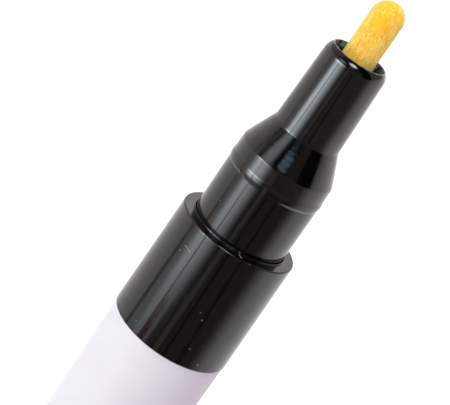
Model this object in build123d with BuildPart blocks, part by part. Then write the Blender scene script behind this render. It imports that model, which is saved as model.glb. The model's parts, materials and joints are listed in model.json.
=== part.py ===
from build123d import *
import os
from math import cos, sin, sqrt, tau

# Valve-action paint marker, standing on its tail with the nib up.
# Millimetres. +Z runs along the marker's axis, and the tail's face is at z = 0.

# Barrel: drawn aluminium tube whose front end is narrowed to a throat
barrel_diameter = 15.3
barrel_wall = 0.6
barrel_length = 86.0
throat_draw = 0.9  # how far the throat steps in from the barrel's wall
throat_wall = 0.8  # necking thickens the metal
shoulder_height = 0.9
shoulder_round = 0.4
crimp_depth = 0.3  # rolled groove that locks the valve body and the collar
crimp_height = 1.8

# Tail plug
tail_inset = 0.2  # flange inside the barrel's outline
tail_flange_height = 4.0
tail_edge_round = 0.8
tail_floor = 2.0
tail_skirt_length = 8.0
tail_skirt_wall = 1.2
tail_skirt_gap = 0.12
tail_bead_gap = 0.01
tail_bead_height = 0.9
tail_bead_shares = (0.35, 0.75)  # places of the sealing beads along the skirt
gate_diameter = 3.0  # shallow moulding mark in the tail's face
gate_depth = 0.4

# Mixing balls, side by side in the plug's cup
ball_gap = 0.5
ball_rest_gap = 0.1
ball_stop_gap = 0.4

# Collar
collar_overhang = 0.12  # rear edge outside the barrel's wall
collar_draft = 0.19  # radius lost from the rear edge to the front edge
collar_length = 15.35
collar_lift = 0.1  # rear edge above the start of the barrel's shoulder
collar_plate = 1.6
collar_front_round = 0.3
collar_rear_round = 0.05
collar_mouth_round = 0.2
collar_fit = 0.05

# Nose
face_width = 1.5  # ring of the collar's front face around the nose
nose_gap = 0.05  # collar's front bore over the snap bead
nose_flange = 1.2
nose_wall = 1.05
flange_gap = 0.1
seat_length = 7.25
seat_relief = 0.2
seat_relief_height = 0.15
bead_proud = 0.09
bead_height = 1.6
band_length = 1.83
band_taper = 0.1
flare_length = 4.02
flare_corner_round = 0.6
flare_crease_round = 0.7
flare_wall_drop = 1.0  # inner cone below the outer one
neck_diameter = 8.03
neck_draft = 0.26  # radius gained from the crown to the neck's base
neck_length = 10.84
neck_wall = 0.88
crown_length = 1.3
crown_drop = 0.58
rim_land = 0.12
mouth_flare = 1.0
rib_count = 8
rib_thickness = 0.6
rib_inset = 0.5
rib_lead = 0.5
rib_root = 0.3  # how far a rib runs into the neck's wall

# Nib
nib_diameter = 4.0
nib_projection = 7.35
nib_tail_chamfer = 0.3
nib_gap = 0.06

# Valve
stroke = 2.2
gasket_thickness = 0.5
gasket_gap = 0.1
body_flange = 1.0
body_fit = 0.05
body_wall = 1.1
skirt_length = 15.0
spigot_height = 3.0
spigot_fit = 0.05
spigot_wall = 1.2
seat_wall = 1.8
lip_height = 0.5
lip_width = 0.6
port_share = 0.5  # of the chamber's radius, as are the next three
head_share = 0.76
boss_share = 0.34
rod_share = 0.235
head_thickness = 1.0
seal_thickness = 0.8
seal_gap = 0.02
seal_edge = 0.1
rod_reach = 1.5  # push rod above the valve body's spigot
rod_end_inset = 0.3
nib_seat_gap = 0.02

# Spring and its retainer
wire_diameter = 0.5
spring_turns = 7
spring_gap = 0.03
retainer_thickness = 1.6
retainer_fit = 0.05
snap_depth = 0.2
snap_height = 0.8
guide_height = 1.2
guide_gap = 0.06
spring_guide_gap = 0.3
drain_count = 4
drain_share = 0.7  # of the ring between the spring and the retainer's rim

# Radii, from the barrel's wall inwards
barrel_r = barrel_diameter / 2
bore_r = barrel_r - barrel_wall
throat_r = barrel_r - throat_draw
throat_bore_r = throat_r - throat_wall
skirt_r = throat_bore_r - body_fit
chamber_r = skirt_r - body_wall
port_r = chamber_r * port_share
head_r = chamber_r * head_share
boss_r = chamber_r * boss_share
rod_r = chamber_r * rod_share
retainer_r = chamber_r - retainer_fit
spring_r = (rod_r + head_r) / 2
spring_outer_r = spring_r + wire_diameter / 2
guide_outer_r = spring_r - wire_diameter / 2 - spring_guide_gap

collar_rear_r = barrel_r + collar_overhang
collar_front_r = collar_rear_r - collar_draft
collar_bore_r = throat_r + collar_fit
seat_r = collar_front_r - face_width
bead_r = seat_r + bead_proud
root_r = seat_r - seat_relief
flare_r = seat_r - band_taper
flange_r = collar_bore_r - flange_gap
nose_bore_r = seat_r - nose_wall
spigot_r = nose_bore_r - spigot_fit
neck_r = neck_diameter / 2
neck_base_r = neck_r + neck_draft
neck_bore_r = neck_r - neck_wall
rim_r = neck_r - crown_drop
mouth_r = rim_r - rim_land
nib_r = nib_diameter / 2

tail_r = barrel_r - tail_inset
tail_skirt_r = bore_r - tail_skirt_gap
tail_bead_r = bore_r - tail_bead_gap
cup_r = tail_skirt_r - tail_skirt_wall
ball_r = (2 * cup_r - 3 * ball_gap) / 4
ball_offset = ball_r + ball_gap / 2

# Heights, from the tail upwards
barrel_low = tail_flange_height
shoulder_low = barrel_low + barrel_length
shoulder_top = shoulder_low + shoulder_height
collar_low = shoulder_low + collar_lift
collar_top = collar_low + collar_length
plate_low = collar_top - collar_plate
nose_low = plate_low - nose_flange
body_top = nose_low - gasket_thickness
throat_top = body_top - body_flange
crimp_mid = (collar_low + shoulder_height + throat_top) / 2
crimp_low = crimp_mid - crimp_height / 2
crimp_high = crimp_mid + crimp_height / 2

bead_low = collar_top + seat_length
bead_high = bead_low + bead_height
flare_low = bead_high + band_length
flare_high = flare_low + flare_length
mouth_top = flare_high + neck_length
crown_low = mouth_top - crown_length
nib_top = mouth_top + nib_projection

spigot_top = body_top + spigot_height
chamber_top = body_top - seat_wall
lip_low = chamber_top - lip_height
skirt_low = throat_top - skirt_length
seal_top = lip_low - seal_gap
head_top = seal_top - seal_thickness
head_low = head_top - head_thickness
rod_top = spigot_top + rod_reach
rod_low = skirt_low + rod_end_inset
nib_low = rod_top + nib_seat_gap
retainer_top = skirt_low + retainer_thickness
snap_mid = skirt_low + retainer_thickness / 2
snap_low = snap_mid - snap_height / 2
snap_high = snap_mid + snap_height / 2
ball_rest = tail_floor + ball_r + ball_rest_gap
ball_highest = rod_low - stroke - ball_stop_gap - ball_r
ball_travel = ball_highest - ball_rest

os.makedirs("parts", exist_ok=True)


# Tail plug: flange under the barrel, and a cup with two sealing beads inside it
with BuildPart() as tail_plug:
    with BuildSketch(Plane.XZ) as tail_section:
        with BuildLine():
            tail_skirt_top = tail_flange_height + tail_skirt_length
            Polyline((0, tail_floor), (0, 0), (tail_r, 0), (tail_r, tail_flange_height))
            last = (tail_skirt_r, tail_flange_height)
            Line((tail_r, tail_flange_height), last)
            for share in tail_bead_shares:
                bead_middle = tail_flange_height + tail_skirt_length * share
                bead_start = (tail_skirt_r, bead_middle - tail_bead_height / 2)
                bead_end = (tail_skirt_r, bead_middle + tail_bead_height / 2)
                Line(last, bead_start)
                ThreePointArc(bead_start, (tail_bead_r, bead_middle), bead_end)
                last = bead_end
            Polyline(
                last,
                (tail_skirt_r, tail_skirt_top),
                (cup_r, tail_skirt_top),
                (cup_r, tail_floor),
                (0, tail_floor),
            )
        make_face()
        fillet(tail_section.vertices().sort_by_distance((tail_r, 0))[0], tail_edge_round)
    revolve(axis=Axis.Z)
    with BuildSketch(Plane.XY):
        Circle(gate_diameter / 2)
    extrude(amount=gate_depth, mode=Mode.SUBTRACT)
tail_plug.part.label = "tail_plug"
export_step(tail_plug.part, "parts/tail_plug.step")


# Barrel: straight tube, shoulder, and a throat with a rolled crimp
with BuildPart() as barrel:
    with BuildSketch(Plane.XZ) as barrel_section:
        with BuildLine():
            Polyline(
                (throat_r, crimp_low),
                (throat_r, shoulder_top),
                (barrel_r, shoulder_low),
                (barrel_r, barrel_low),
                (bore_r, barrel_low),
                (bore_r, shoulder_low),
                (throat_bore_r, shoulder_top),
                (throat_bore_r, crimp_low),
            )
            ThreePointArc(
                (throat_bore_r, crimp_low),
                (throat_bore_r - crimp_depth, crimp_mid),
                (throat_bore_r, crimp_high),
            )
            Polyline(
                (throat_bore_r, crimp_high),
                (throat_bore_r, throat_top),
                (throat_r, throat_top),
                (throat_r, crimp_high),
            )
            ThreePointArc(
                (throat_r, crimp_high),
                (throat_r - crimp_depth, crimp_mid),
                (throat_r, crimp_low),
            )
        make_face()
        shoulder_edge = barrel_section.vertices().sort_by_distance((barrel_r, shoulder_low))[0]
        fillet(shoulder_edge, shoulder_round)
    revolve(axis=Axis.Z)
barrel.part.label = "barrel"
export_step(barrel.part, "parts/barrel.step")


# Collar: drafted ring with a flat front plate, snapped into the crimp
with BuildPart() as collar:
    with BuildSketch(Plane.XZ) as collar_section:
        plate_bore_r = bead_r + nose_gap
        with BuildLine():
            ThreePointArc(
                (collar_bore_r, crimp_low),
                (collar_bore_r - crimp_depth + 2 * collar_fit, crimp_mid),
                (collar_bore_r, crimp_high),
            )
            Polyline(
                (collar_bore_r, crimp_high),
                (collar_bore_r, plate_low),
                (plate_bore_r, plate_low),
                (plate_bore_r, collar_top),
                (collar_front_r, collar_top),
                (collar_rear_r, collar_low),
                (barrel_r + collar_fit, collar_low),
                (collar_bore_r, collar_low + shoulder_height),
                (collar_bore_r, crimp_low),
            )
        make_face()
        collar_corners = collar_section.vertices()
        fillet(collar_corners.sort_by_distance((collar_front_r, collar_top))[0], collar_front_round)
        fillet(collar_corners.sort_by_distance((plate_bore_r, collar_top))[0], collar_mouth_round)
        fillet(collar_corners.sort_by_distance((collar_rear_r, collar_low))[0], collar_rear_round)
    revolve(axis=Axis.Z)
collar.part.label = "collar"
export_step(collar.part, "parts/collar.step")


# Nose: flange, cap seat with its snap bead, flared shoulder and slender ribbed neck
with BuildPart() as nose:
    with BuildSketch(Plane.XZ) as nose_section:
        inner_flare_low = flare_low - flare_wall_drop
        inner_flare_high = flare_high - flare_wall_drop
        seat_low = collar_top + seat_relief_height
        with BuildLine():
            Polyline(
                (nose_bore_r, nose_low),
                (flange_r, nose_low),
                (flange_r, plate_low),
                (root_r, plate_low),
                (root_r, seat_low),
                (seat_r, seat_low),
                (seat_r, bead_low),
            )
            ThreePointArc(
                (seat_r, bead_low),
                (bead_r, (bead_low + bead_high) / 2),
                (seat_r, bead_high),
            )
            Polyline(
                (seat_r, bead_high),
                (flare_r, flare_low),
                (neck_base_r, flare_high),
                (neck_r, crown_low),
            )
            TangentArc(
                (neck_r, crown_low),
                (rim_r, mouth_top),
                tangent=(neck_r - neck_base_r, crown_low - flare_high),
            )
            Polyline(
                (rim_r, mouth_top),
                (mouth_r, mouth_top),
                (neck_bore_r, mouth_top - mouth_flare),
                (neck_bore_r, inner_flare_high),
                (nose_bore_r, inner_flare_low),
                (nose_bore_r, nose_low),
            )
        make_face()
        nose_corners = nose_section.vertices()
        fillet(nose_corners.sort_by_distance((flare_r, flare_low))[0], flare_corner_round)
        fillet(nose_corners.sort_by_distance((neck_base_r, flare_high))[0], flare_crease_round)
    revolve(axis=Axis.Z)
    rib_r = nib_r + nib_gap
    rib_outer_r = neck_bore_r + rib_root
    rib_top = mouth_top - rib_inset
    for rib in range(rib_count):
        angle = tau * rib / rib_count
        rib_plane = Plane(origin=(0, 0), x_dir=(cos(angle), sin(angle)), z_dir=(sin(angle), -cos(angle)))
        with BuildSketch(rib_plane):
            with BuildLine():
                Polyline(
                    (rib_outer_r, inner_flare_high),
                    (rib_r, inner_flare_high),
                    (rib_r, rib_top - rib_lead),
                    (rib_r + rib_lead, rib_top),
                    (rib_outer_r, rib_top),
                    close=True,
                )
            make_face()
        extrude(amount=rib_thickness / 2, both=True)
nose.part.label = "nose"
export_step(nose.part, "parts/nose.step")


# Nib: fibre rod with a round bullet tip
with BuildPart() as nib:
    with BuildSketch(Plane.XY.offset(nib_low)):
        Circle(nib_r)
    extrude(amount=nib_top - nib_r - nib_low)
    chamfer(nib.edges().filter_by(GeomType.CIRCLE).sort_by(Axis.Z)[0], nib_tail_chamfer)
    with Locations((0, 0, nib_top - nib_r)):
        Sphere(nib_r)
nib.part.label = "nib"
export_step(nib.part, "parts/nib.step")


# Gasket: flat washer clamped between the nose's flange and the valve body's flange
with BuildPart() as nose_gasket:
    with BuildSketch(Plane.XY.offset(body_top)):
        Circle(flange_r - gasket_gap)
        Circle(spigot_r + gasket_gap, mode=Mode.SUBTRACT)
    extrude(amount=gasket_thickness)
nose_gasket.part.label = "nose_gasket"
export_step(nose_gasket.part, "parts/nose_gasket.step")


# Valve body: crimped skirt, flange on the throat's edge, seat lip, and a spigot in the nose
with BuildPart() as valve_body:
    with BuildSketch(Plane.XZ):
        with BuildLine():
            ThreePointArc(
                (chamber_r, snap_low),
                (chamber_r + snap_depth, snap_mid),
                (chamber_r, snap_high),
            )
            Polyline(
                (chamber_r, snap_high),
                (chamber_r, chamber_top),
                (port_r + lip_width, chamber_top),
                (port_r + lip_width, lip_low),
                (port_r, lip_low),
                (port_r, body_top),
                (spigot_r - spigot_wall, body_top),
                (spigot_r - spigot_wall, spigot_top),
                (spigot_r, spigot_top),
                (spigot_r, body_top),
                (flange_r, body_top),
                (flange_r, throat_top),
                (skirt_r, throat_top),
                (skirt_r, crimp_high),
            )
            ThreePointArc(
                (skirt_r, crimp_high),
                (skirt_r - crimp_depth, crimp_mid),
                (skirt_r, crimp_low),
            )
            Polyline(
                (skirt_r, crimp_low),
                (skirt_r, skirt_low),
                (chamber_r, skirt_low),
                (chamber_r, snap_low),
            )
        make_face()
    revolve(axis=Axis.Z)
valve_body.part.label = "valve_body"
export_step(valve_body.part, "parts/valve_body.step")


# Valve stem: push rod, boss for the seal, head, and a tail rod in the retainer's guide
with BuildPart() as valve_stem:
    with BuildSketch(Plane.XZ):
        with BuildLine():
            Polyline(
                (0, rod_low),
                (rod_r, rod_low),
                (rod_r, head_low),
                (head_r, head_low),
                (head_r, head_top),
                (boss_r, head_top),
                (boss_r, seal_top),
                (rod_r, seal_top),
                (rod_r, rod_top),
                (0, rod_top),
                close=True,
            )
        make_face()
    revolve(axis=Axis.Z)
valve_stem.part.label = "valve_stem"
export_step(valve_stem.part, "parts/valve_stem.step")


# Valve seal: soft washer on the stem's head
with BuildPart() as valve_seal:
    with BuildSketch(Plane.XY.offset(head_top)):
        Circle(head_r - seal_edge)
        Circle(boss_r + seal_gap, mode=Mode.SUBTRACT)
    extrude(amount=seal_thickness)
valve_seal.part.label = "valve_seal"
export_step(valve_seal.part, "parts/valve_seal.step")


# Spring retainer: drained disc snapped into the valve body, with a guide for the stem
with BuildPart() as spring_retainer:
    with BuildSketch(Plane.XZ):
        with BuildLine():
            guide_r = rod_r + guide_gap
            ThreePointArc(
                (retainer_r, snap_low),
                (retainer_r + snap_depth, snap_mid),
                (retainer_r, snap_high),
            )
            Polyline(
                (retainer_r, snap_high),
                (retainer_r, retainer_top),
                (guide_outer_r, retainer_top),
                (guide_outer_r, retainer_top + guide_height),
                (guide_r, retainer_top + guide_height),
                (guide_r, skirt_low),
                (retainer_r, skirt_low),
                (retainer_r, snap_low),
            )
        make_face()
    revolve(axis=Axis.Z)
    with BuildSketch(Plane.XY.offset(skirt_low)):
        with PolarLocations((spring_outer_r + retainer_r) / 2, drain_count):
            Circle((retainer_r - spring_outer_r) / 2 * drain_share)
    extrude(amount=retainer_thickness, mode=Mode.SUBTRACT)
spring_retainer.part.label = "spring_retainer"
export_step(spring_retainer.part, "parts/spring_retainer.step")


# Valve spring: one wire wound between the retainer and the stem's head
spring_low = retainer_top + spring_gap + wire_diameter / 2
spring_high = head_low - spring_gap - wire_diameter / 2
quarter_count = 4 * spring_turns


def wire_point(turns):
    angle = tau * turns
    height = spring_low + (spring_high - spring_low) * turns / spring_turns
    return Vector(spring_r * cos(angle), spring_r * sin(angle), height)


def wire_direction(turns):
    angle = tau * turns
    rise = (spring_high - spring_low) / (tau * spring_turns)
    return Vector(-spring_r * sin(angle), spring_r * cos(angle), rise).normalized()


with BuildPart() as valve_spring:
    with BuildLine():
        for quarter in range(quarter_count):
            start = wire_point(quarter / 4)
            end = wire_point((quarter + 1) / 4)
            leave = wire_direction(quarter / 4)
            arrive = wire_direction((quarter + 1) / 4)
            # Two tangent arcs that meet halfway between their control points
            span = end - start
            along = span.dot(leave + arrive)
            turn = 2 * (1 - leave.dot(arrive))
            reach = (sqrt(along**2 + turn * span.dot(span)) - along) / turn
            first_control = start + leave * reach
            second_control = end - arrive * reach
            middle = (first_control + second_control) / 2
            TangentArc(start, middle, tangent=leave)
            TangentArc(middle, end, tangent=second_control - first_control)
    with BuildSketch(Plane(origin=wire_point(0), z_dir=wire_direction(0))):
        Circle(wire_diameter / 2)
    sweep()
valve_spring.part.label = "valve_spring"
export_step(valve_spring.part, "parts/valve_spring.step")

sample_count = 60 * spring_turns
wire_samples = [wire_point(spring_turns * index / sample_count) for index in range(sample_count + 1)]
half_turn = sample_count // (2 * spring_turns)
wire_gap = min(
    (wire_samples[upper] - wire_samples[lower]).length
    for lower in range(sample_count + 1)
    for upper in range(lower + half_turn, sample_count + 1)
) - wire_diameter
print(f"valve spring: least gap between turns {wire_gap:.2f} mm")


# Mixing balls: two loose steel balls on the plug's floor
for number, side in enumerate((-1, 1), start=1):
    with BuildPart() as mixing_ball:
        with Locations((side * ball_offset, 0, ball_rest)):
            Sphere(ball_r)
    mixing_ball.part.label = f"mixing_ball_{number}"
    export_step(mixing_ball.part, f"parts/mixing_ball_{number}.step")

print(f"whole length {nib_top:.2f} mm, collar face at {collar_top:.2f}, bead at {bead_low:.2f}")
print(f"cap seat radius {seat_r:.3f} from {collar_top + seat_relief_height:.2f}")
print(f"nib length {nib_top - nib_low:.2f} mm, stroke {stroke:.2f}, spring foot at {retainer_top:.2f}")
print(f"ball diameter {2 * ball_r:.2f} mm, travel {ball_travel:.2f} mm")
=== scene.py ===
import json
import math

import bmesh
import bpy
from mathutils import Matrix, Vector


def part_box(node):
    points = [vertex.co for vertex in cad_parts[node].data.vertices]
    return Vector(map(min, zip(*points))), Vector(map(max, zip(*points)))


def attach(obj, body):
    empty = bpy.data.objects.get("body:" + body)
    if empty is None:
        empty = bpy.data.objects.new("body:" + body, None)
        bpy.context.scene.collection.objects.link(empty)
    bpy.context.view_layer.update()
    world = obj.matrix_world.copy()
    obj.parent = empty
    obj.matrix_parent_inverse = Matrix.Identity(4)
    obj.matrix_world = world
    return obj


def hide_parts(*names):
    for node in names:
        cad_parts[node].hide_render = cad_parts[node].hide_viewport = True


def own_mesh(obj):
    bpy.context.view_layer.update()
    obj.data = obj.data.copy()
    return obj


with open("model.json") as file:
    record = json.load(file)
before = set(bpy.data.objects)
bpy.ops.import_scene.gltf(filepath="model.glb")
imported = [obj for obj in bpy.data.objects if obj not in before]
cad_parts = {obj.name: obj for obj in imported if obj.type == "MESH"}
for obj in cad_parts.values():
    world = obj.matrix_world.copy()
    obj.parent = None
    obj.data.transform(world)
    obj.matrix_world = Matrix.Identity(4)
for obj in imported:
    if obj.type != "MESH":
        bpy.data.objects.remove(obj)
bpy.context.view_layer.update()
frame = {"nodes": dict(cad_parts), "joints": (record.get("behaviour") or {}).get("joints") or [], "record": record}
mm = 0.001  # outlines and sizes are in millimetres, the scene is in metres
fullShare = {"bump": 0.4, "mark": 0.4, "speck": 0.6}  # share of a soft shape's half width that is full
weldWithin = 0.001 * mm
swellEdge = 0.05  # rounding where a bead or groove meets its wall


# Node trees

class Wire:
    # one output of a node tree, so that node maths reads as sums
    def __init__(self, tree, socket):
        self.tree = tree
        self.socket = socket

    def node(self, kind, settings=None, sockets=None, out=0):
        made = self.tree.nodes.new(kind)
        for name, value in (settings or {}).items():
            if name == "stops":
                setStops(made.color_ramp, value)
            elif name == "keeps":
                made.capture_items.new(value, "Kept")
            else:
                setattr(made, name, value)
        for name, value in (sockets or {}).items():
            if isinstance(value, Wire):
                self.tree.links.new(value.socket, made.inputs[name])
            else:
                made.inputs[name].default_value = value
        return Wire(self.tree, made.outputs[out])

    def beside(self, name):  # another output of the same node
        return Wire(self.tree, self.socket.node.outputs[name])

    def math(self, operation, first, second=0.0):
        return self.node("ShaderNodeMath", {"operation": operation}, {0: first, 1: second})

    def __add__(self, other):
        return self.math("ADD", self, other)

    __radd__ = __add__

    def __sub__(self, other):
        return self.math("SUBTRACT", self, other)

    def __rsub__(self, other):
        return self.math("SUBTRACT", other, self)

    def __mul__(self, other):
        return self.math("MULTIPLY", self, other)

    __rmul__ = __mul__

    def __truediv__(self, other):
        return self.math("DIVIDE", self, other)

    def __rtruediv__(self, other):
        return self.math("DIVIDE", other, self)

    def __gt__(self, other):
        return self.math("GREATER_THAN", self, other)

    def __lt__(self, other):
        return self.math("LESS_THAN", self, other)

    def ease(self, low, high):  # 0 up to low, 1 from high, smooth between
        settings = {"interpolation_type": "SMOOTHSTEP"}
        return self.node("ShaderNodeMapRange", settings, {"Value": self, "From Min": low, "From Max": high})

    def fade(self, low, high):  # 1 up to low, 0 from high
        return 1 - self.ease(low, high)

    def bump(self, middle, half):  # 1 at the middle, 0 from half away
        off = self - middle
        return off.math("ABSOLUTE", off).fade(half * fullShare["bump"], half)

    def tint(self, first, second):  # this value mixes two colours
        return self.node("ShaderNodeMix", {"data_type": "RGBA"}, {0: self, 6: first, 7: second}, out=2)


def setStops(ramp, stops):
    while len(ramp.elements) < len(stops):
        ramp.elements.new(1.0)
    for element, (place, colour) in zip(ramp.elements, stops):
        element.position = place
        element.color = (*colour, 1)


def axes(place):
    x = place.node("ShaderNodeSeparateXYZ", {}, {0: place})
    return x, x.beside("Y"), x.beside("Z")


def vectorMath(operation, first, second):  # second is the factor of a SCALE
    wire = first if isinstance(first, Wire) else second
    socket = "Scale" if operation == "SCALE" else 1
    out = "Value" if operation in ("DISTANCE", "DOT_PRODUCT") else "Vector"
    return wire.node("ShaderNodeVectorMath", {"operation": operation}, {0: first, socket: second}, out=out)


def noise(place, scale, detail=2.0, roughness=0.5, distortion=0.0):
    return place.node("ShaderNodeTexNoise", {}, {
        "Vector": place, "Scale": scale, "Detail": detail, "Roughness": roughness, "Distortion": distortion,
    })


def stretched(place, longer, turn=(0, 0, 0), start=(0, 0, 0)):  # a texture moved, turned and drawn out
    return place.node("ShaderNodeMapping", {"vector_type": "TEXTURE"}, {
        "Vector": place, "Location": start, "Scale": longer, "Rotation": turn,
    })


def newFinish(name, constants):
    material = bpy.data.materials.new(name)
    material.use_nodes = True
    tree = material.node_tree
    shader = tree.nodes["Principled BSDF"]
    for socket, value in constants.items():
        shader.inputs[socket].default_value = value
    place = Wire(tree, tree.nodes.new("ShaderNodeTexCoord").outputs["Object"])
    return material, shader, place


def feed(shader, height, depth, **wires):  # wires to the shader, with a height in metres as its relief
    tree = shader.id_data
    bump = height.node("ShaderNodeBump", {}, {"Height": height, "Distance": depth, "Strength": 1.0})
    tree.links.new(bump.socket, shader.inputs["Normal"])
    for name, wire in wires.items():
        tree.links.new(wire.socket, shader.inputs[name.replace("_", " ")])


# Finishes

def specks(place, scale, share, size):  # small round spots in a share of the cells
    cell = place.node("ShaderNodeTexVoronoi", {}, {"Vector": place, "Scale": scale})
    pick = cell.node("ShaderNodeSeparateColor", {}, {"Color": cell.beside("Color")})
    return (pick < share) * cell.fade(size * fullShare["speck"], size)


def mark(place, start, end, width):  # 1 along a fine line between two places
    run = end - start
    off = vectorMath("SUBTRACT", place, start)
    along = vectorMath("DOT_PRODUCT", off, run / run.length_squared)
    along = along.node("ShaderNodeClamp", {}, {"Value": along})
    gap = vectorMath("DISTANCE", off, vectorMath("SCALE", run, along))
    return gap.fade(width * fullShare["mark"], width)


def between(height, ends, soft):  # 1 from the first height to the second, soft at both ends
    low, high = ends
    return height.ease(low - soft / 2, low + soft / 2) * height.fade(high - soft / 2, high + soft / 2)


def blackGloss(name, wornMouth=None, satin=None, ripple=None, marks=()):  # all places in metres
    look = {
        "black": (0.0014, 0.0013, 0.0014, 1), "dust": (0.24, 0.23, 0.22, 1), "scuff": (0.15, 0.165, 0.20, 1),
        "pale": (0.4, 0.39, 0.38, 1), "roughness": 0.06,
        "flowScale": 330, "flowDepth": 1.2e-6, "flowRough": 0.05,
        "hairScale": 6500, "hairStretch": (1, 1, 20), "hairEdge": (0.62, 0.74), "hairDust": 0.02,
        "hairRough": 0.05, "hairHeight": 0.02,
        "speckScale": 720, "speckShare": 0.2, "speckSize": 0.06, "speckDust": 0.7, "speckRough": 0.3,
        "scuffScale": 1200, "scuffEdge": (0.42, 0.54), "scuffFrom": 2 * mm, "scuffFull": 0.4 * mm,
        "scuffOver": 0.08 * mm, "scuffSide": (-2.5 * mm, 1.5 * mm), "scuffLess": 0.3, "scuffRough": 0.3,
        "ringScale": 8000, "ringStretch": (60, 60, 1), "ringHeight": 7.0, "ringRough": 0.05,
        "satinRough": 0.05, "satinSoft": 0.2 * mm,
        "rippleScale": 1600, "rippleStretch": (2, 2, 1), "rippleStart": (0, 0, 0.5 * mm), "rippleHeight": 6.0,
        "rippleSoft": 0.5 * mm, "markRough": 0.3,
    }
    material, shader, place = newFinish(name, {"IOR": 1.5})
    flow = noise(place, look["flowScale"], detail=1.5)
    hairLine = noise(stretched(place, look["hairStretch"]), look["hairScale"], detail=1.0)
    hairLine = hairLine.ease(*look["hairEdge"])
    speck = specks(place, look["speckScale"], look["speckShare"], look["speckSize"])
    shade = (speck * look["speckDust"] + hairLine * look["hairDust"]).tint(look["black"], look["dust"])
    gloss = flow * look["flowRough"] + hairLine * look["hairRough"] + speck * look["speckRough"]
    gloss = gloss + look["roughness"]
    relief = flow + hairLine * look["hairHeight"]
    x, y, z = axes(place)
    if wornMouth:  # the trimmed mouth is scuffed inside, most of all on one side
        height, radius = wornMouth
        away = x.math("SQRT", x * x + y * y)
        inside = z.ease(height - look["scuffFrom"], height - look["scuffFull"])
        inside = inside * away.fade(radius, radius + look["scuffOver"])
        worn = noise(place, look["scuffScale"], detail=4.0, roughness=0.6)
        scuff = inside * worn.ease(*look["scuffEdge"])
        scuff = scuff * (1 - x.ease(*look["scuffSide"]) * look["scuffLess"])
        shade = scuff.tint(shade, look["scuff"])
        gloss = gloss + scuff * look["scuffRough"]
    if satin:  # a band with fine turned rings
        rings = noise(stretched(place, look["ringStretch"]), look["ringScale"], roughness=0.6)
        dull = between(z, satin, look["satinSoft"])
        gloss = gloss + dull * (look["satinRough"] + rings * look["ringRough"])
        relief = relief + dull * rings * look["ringHeight"]
    if ripple:  # slow waves round the flare
        waves = stretched(place, look["rippleStretch"], start=look["rippleStart"])
        waves = noise(waves, look["rippleScale"], detail=1.0)
        relief = relief + between(z, ripple, look["rippleSoft"]) * waves * look["rippleHeight"]
    for start, end, width in marks:
        line = mark(place, start, end, width)
        shade = line.tint(shade, look["pale"])
        gloss = gloss + line * look["markRough"]
    feed(shader, relief, look["flowDepth"], Base_Color=shade, Roughness=gloss)
    return material


def whiteLacquer():
    look = {
        "white": (0.725, 0.727, 0.765, 1), "thin": (0.70, 0.697, 0.74, 1), "roughness": 0.4,
        "mottleScale": 260, "mottleEdge": (0.3, 0.75), "mottleThin": 0.7,
        "peelScale": 1500, "peelDepth": 1.5e-6, "peelRough": 0.08, "coat": 0.08, "coatWear": 0.06,
        "speckScale": 500, "speckShare": 0.12, "speckSize": 0.05, "speckThin": 0.3, "speckRough": 0.2,
    }
    material, shader, place = newFinish("whiteLacquer", {"IOR": 1.33, "Coat Roughness": 0.15})
    mottle = noise(place, look["mottleScale"], detail=3.0)
    peel = noise(place, look["peelScale"], detail=1.0)
    speck = specks(place, look["speckScale"], look["speckShare"], look["speckSize"])
    thin = mottle.ease(*look["mottleEdge"]) * look["mottleThin"] + speck * look["speckThin"]
    shade = thin.tint(look["white"], look["thin"])
    gloss = peel * look["peelRough"] + speck * look["speckRough"] + look["roughness"]
    coat = look["coat"] - mottle * look["coatWear"]
    feed(shader, peel, look["peelDepth"], Base_Color=shade, Roughness=gloss, Coat_Weight=coat)
    return material


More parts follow.
